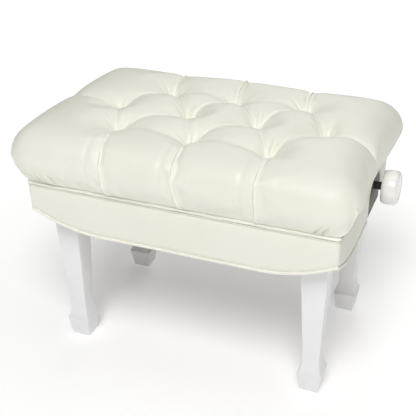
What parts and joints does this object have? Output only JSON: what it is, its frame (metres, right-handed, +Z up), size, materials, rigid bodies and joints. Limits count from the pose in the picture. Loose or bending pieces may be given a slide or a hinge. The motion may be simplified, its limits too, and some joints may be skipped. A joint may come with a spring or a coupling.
{
  "type": "adjustable piano bench",
  "caption": "Height-adjustable piano bench with a tufted leather cushion, upholstered skirt, tapered spade-foot legs and a knob-driven scissor lift.",
  "frame": {"origin": "on the floor under the middle of the bench", "axes": "+X along the bench to the right, +Y from front to back, +Z up"},
  "size_m": [0.651, 0.415, 0.456],
  "materials": {
    "ivory_leather": "soft semi-gloss leather",
    "ivory_piping": "semi-gloss leather piping",
    "white_lacquer": "satin white lacquer on wood",
    "brown_wood": "matte dark brown stain",
    "plywood": "unfinished plywood",
    "foam": "open-cell foam",
    "white_knob": "high gloss",
    "black_steel": "black satin paint",
    "zinc_steel": "bright zinc plate",
    "grey_plastic": "matte"
  },
  "bodies": {
    "base": {"leg_front_left": "white_lacquer", "glide_front_left": "grey_plastic", "corner_brace_front_left": "zinc_steel", "leg_bolt_front_left": "zinc_steel", "leg_front_right": "white_lacquer", "glide_front_right": "grey_plastic", "corner_brace_front_right": "zinc_steel", "leg_bolt_front_right": "zinc_steel", "leg_back_left": "white_lacquer", "glide_back_left": "grey_plastic", "corner_brace_back_left": "zinc_steel", "leg_bolt_back_left": "zinc_steel", "leg_back_right": "white_lacquer", "glide_back_right": "grey_plastic", "corner_brace_back_right": "zinc_steel", "leg_bolt_back_right": "zinc_steel", "base_rail_front": "white_lacquer", "base_mech_rail_front": "black_steel", "base_rail_back": "white_lacquer", "base_mech_rail_back": "black_steel", "base_rail_left": "white_lacquer", "bearing_plate_left": "brown_wood", "screw_bush_left": "grey_plastic", "batten_left": "plywood", "base_rail_right": "white_lacquer", "bearing_plate_right": "brown_wood", "screw_bush_right": "grey_plastic", "batten_right": "plywood"},
    "seat": {"seat_mech_rail_front": "black_steel", "skirt_front": "ivory_leather", "bottom_welt_front": "ivory_piping", "seat_mech_rail_back": "black_steel", "skirt_back": "ivory_leather", "bottom_welt_back": "ivory_piping", "skirt_left_front": "ivory_leather", "skirt_left_back": "ivory_leather", "skirt_right_front": "ivory_leather", "skirt_right_back": "ivory_leather", "seat_board": "plywood", "foam_core": "foam", "leather_cover": "ivory_leather", "top_welt": "ivory_piping"},
    "arms_a": {"arm_a_front": "black_steel", "centre_pin_front": "zinc_steel", "arm_a_back": "black_steel", "centre_pin_back": "zinc_steel", "shaft_a_lower": "zinc_steel", "shaft_a_upper": "zinc_steel"},
    "arms_b": {"arm_b_front": "black_steel", "arm_b_back": "black_steel", "shaft_b_upper": "zinc_steel", "shaft_b_lower": "zinc_steel"},
    "nut": {"drive_nut": "zinc_steel"},
    "screw": {"knob_left": "white_knob", "thrust_collar_left": "zinc_steel", "knob_right": "white_knob", "thrust_collar_right": "zinc_steel", "drive_screw": "black_steel"}
  },
  "joints": [
    {"name": "seat_lift", "type": "slide", "parent": "base", "child": "seat", "axis": [0, 0, 1], "range_m": [0, 0.088]},
    {"name": "arm_a_turn", "type": "hinge", "parent": "base", "child": "arms_a", "pos_m": [-0.108, 0, 0.296], "axis": [0, -1, 0], "range_deg": [0, 25.2]},
    {"name": "arm_b_turn", "type": "hinge", "parent": "seat", "child": "arms_b", "pos_m": [-0.108, 0, 0.336], "axis": [0, 1, 0], "range_deg": [0, 25.2]},
    {"name": "nut_level", "type": "hinge", "parent": "arms_b", "child": "nut", "pos_m": [0.10833, 0, 0.296], "axis": [0, -1, 0], "range_deg": [0, 25.2]},
    {"name": "screw_turn", "type": "hinge", "parent": "base", "child": "screw", "pos_m": [0, 0.088, 0.317], "axis": [1, 0, 0], "range_deg": [0, 2700]}
  ],
  "couplings": [
    {"joint": "arm_a_turn", "follows": "seat_lift", "rad_per_m": 4.9787},
    {"joint": "arm_b_turn", "follows": "seat_lift", "rad_per_m": 4.9787},
    {"joint": "nut_level", "follows": "seat_lift", "rad_per_m": 4.9787},
    {"joint": "screw_turn", "follows": "seat_lift", "rad_per_m": 535}
  ]
}
